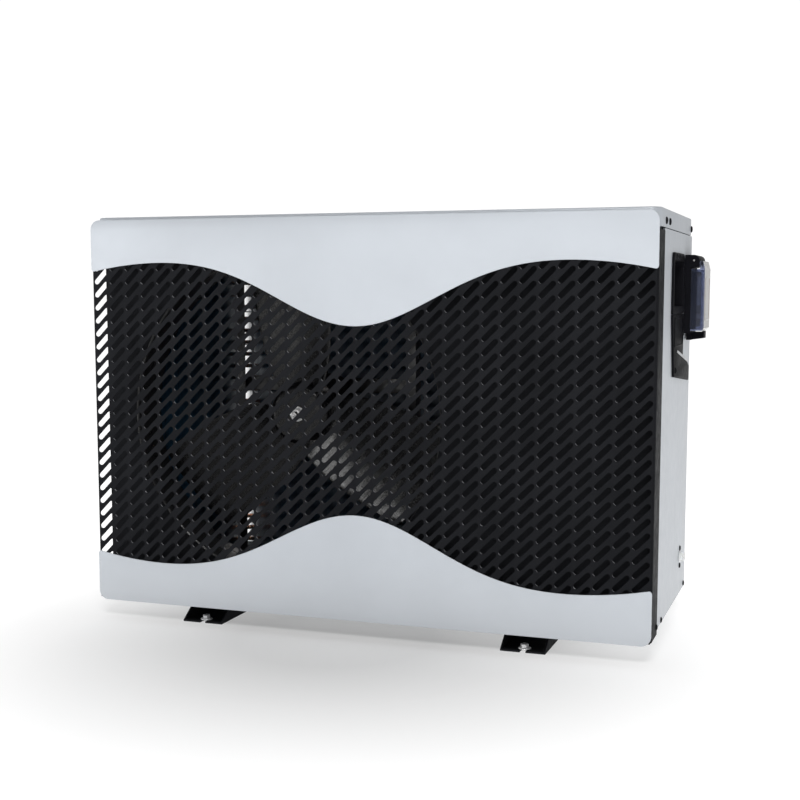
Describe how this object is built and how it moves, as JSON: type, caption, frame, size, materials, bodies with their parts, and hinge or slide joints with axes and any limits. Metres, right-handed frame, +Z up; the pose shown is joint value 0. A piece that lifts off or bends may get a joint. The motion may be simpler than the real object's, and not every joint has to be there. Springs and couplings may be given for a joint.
{
  "type": "pool heat pump",
  "caption": "Horizontal pool heat pump: steel cabinet with wavy silver trims over a slotted black grille, axial fan, coil, compressor, water unions and a flip-door controller on its side",
  "frame": {"origin": "on the floor, under the middle of the whole unit", "axes": "+X to the right seen from the fan grille, +Y from the grille to the coil at the back, +Z up"},
  "size_m": [0.9216, 0.4, 0.642],
  "materials": {
    "silver_paint": "satin, fine orange peel",
    "black_powder": "matt powder coat",
    "black_paint": "semi-gloss",
    "galvanised": "spangled zinc coat",
    "zinc": "bright zinc plate",
    "steel": "turned and polished",
    "copper": "drawn copper tube, lightly oxidised",
    "brass": "turned brass",
    "blue_fin": "blue hydrophilic coating on fins",
    "fan_plastic": "smooth moulded, slight sheen",
    "black_plastic": "fine moulded texture",
    "white_plastic": "smooth moulded",
    "key_plastic": "soft touch",
    "smoked": "clear smoked blue-black, polished",
    "screen": "dark display window, polished",
    "grey_pvc": "smooth extruded",
    "dark_pvc": "ribbed moulding",
    "circuit": "solder mask with components",
    "rubber": "matt"
  },
  "bodies": {
    "cabinet": {"accumulator": "black_paint", "base_pan": "galvanised", "bottom_trim": "silver_paint", "cable_gland": "black_plastic", "coil_end_plate": "galvanised", "coil_gas_pipe": "copper", "coil_header": "copper", "compressor": "black_paint", "control_board": "circuit", "controller_base": "black_plastic", "discharge_pipe": "copper", "display_module": "black_plastic", "display_window": "screen", "door_hinge_pin": "steel", "drain_nozzle": "black_plastic", "drain_plug": "white_plastic", "electrical_box": "galvanised", "evaporator_coil": "blue_fin", "expansion_valve": "brass", "fan_motor": "black_powder", "fan_shroud": "black_powder", "foot_bolt_front_left": "zinc", "foot_bolt_front_right": "zinc", "foot_bolt_rear_left": "zinc", "foot_bolt_rear_right": "zinc", "foot_left": "black_powder", "foot_right": "black_powder", "four_way_valve": "brass", "front_deck": "black_powder", "front_grille": "black_powder", "front_left_post": "silver_paint", "heat_exchanger": "grey_pvc", "hot_gas_pipe": "copper", "left_guard": "black_powder", "liquid_pipe_inlet": "copper", "liquid_pipe_outlet": "copper", "motor_bracket": "galvanised", "partition_plate": "galvanised", "rear_guard": "black_powder", "rear_left_post": "silver_paint", "rear_panel": "silver_paint", "right_side_panel": "silver_paint", "side_handle": "black_plastic", "suction_pipe": "copper", "terminal_cover": "black_plastic", "top_cover": "silver_paint", "top_trim": "silver_paint", "water_inlet_pipe": "grey_pvc", "water_outlet_pipe": "grey_pvc"},
    "fan": {"fan_impeller": "fan_plastic", "fan_nut": "zinc", "motor_shaft": "steel"},
    "door": {"controller_door": "smoked"},
    "latch": {"door_latch": "black_plastic"},
    "power_key": {"key_power": "key_plastic"},
    "mode_key": {"key_mode": "key_plastic"},
    "up_key": {"key_up": "key_plastic"},
    "down_key": {"key_down": "key_plastic"},
    "inlet_nut": {"inlet_union_nut": "dark_pvc"},
    "outlet_nut": {"outlet_union_nut": "dark_pvc"}
  },
  "joints": [
    {"name": "fan_spin", "type": "hinge", "parent": "cabinet", "child": "fan", "pos_m": [-0.15175, -0.1, 0.332], "axis": [0, 1, 0], "continuous": true},
    {"name": "door_swing", "type": "hinge", "parent": "cabinet", "child": "door", "pos_m": [0.44315, 0.113, 0.574], "axis": [0, -1, 0], "range_deg": [0, 110]},
    {"name": "latch_swing", "type": "hinge", "parent": "cabinet", "child": "latch", "pos_m": [0.43525, 0.113, 0.4545], "axis": [0, 1, 0], "range_deg": [0, 40]},
    {"name": "power_key_press", "type": "slide", "parent": "cabinet", "child": "power_key", "axis": [-1, 0, 0], "range_m": [0, 0.001], "stiffness_N_per_m": 400},
    {"name": "mode_key_press", "type": "slide", "parent": "cabinet", "child": "mode_key", "axis": [-1, 0, 0], "range_m": [0, 0.001], "stiffness_N_per_m": 400},
    {"name": "up_key_press", "type": "slide", "parent": "cabinet", "child": "up_key", "axis": [-1, 0, 0], "range_m": [0, 0.001], "stiffness_N_per_m": 400},
    {"name": "down_key_press", "type": "slide", "parent": "cabinet", "child": "down_key", "axis": [-1, 0, 0], "range_m": [0, 0.001], "stiffness_N_per_m": 400},
    {"name": "inlet_nut_spin", "type": "hinge", "parent": "cabinet", "child": "inlet_nut", "pos_m": [0.33925, 0.166, 0.115], "axis": [0, 1, 0], "continuous": true},
    {"name": "outlet_nut_spin", "type": "hinge", "parent": "cabinet", "child": "outlet_nut", "pos_m": [0.33925, 0.166, 0.335], "axis": [0, 1, 0], "continuous": true}
  ]
}
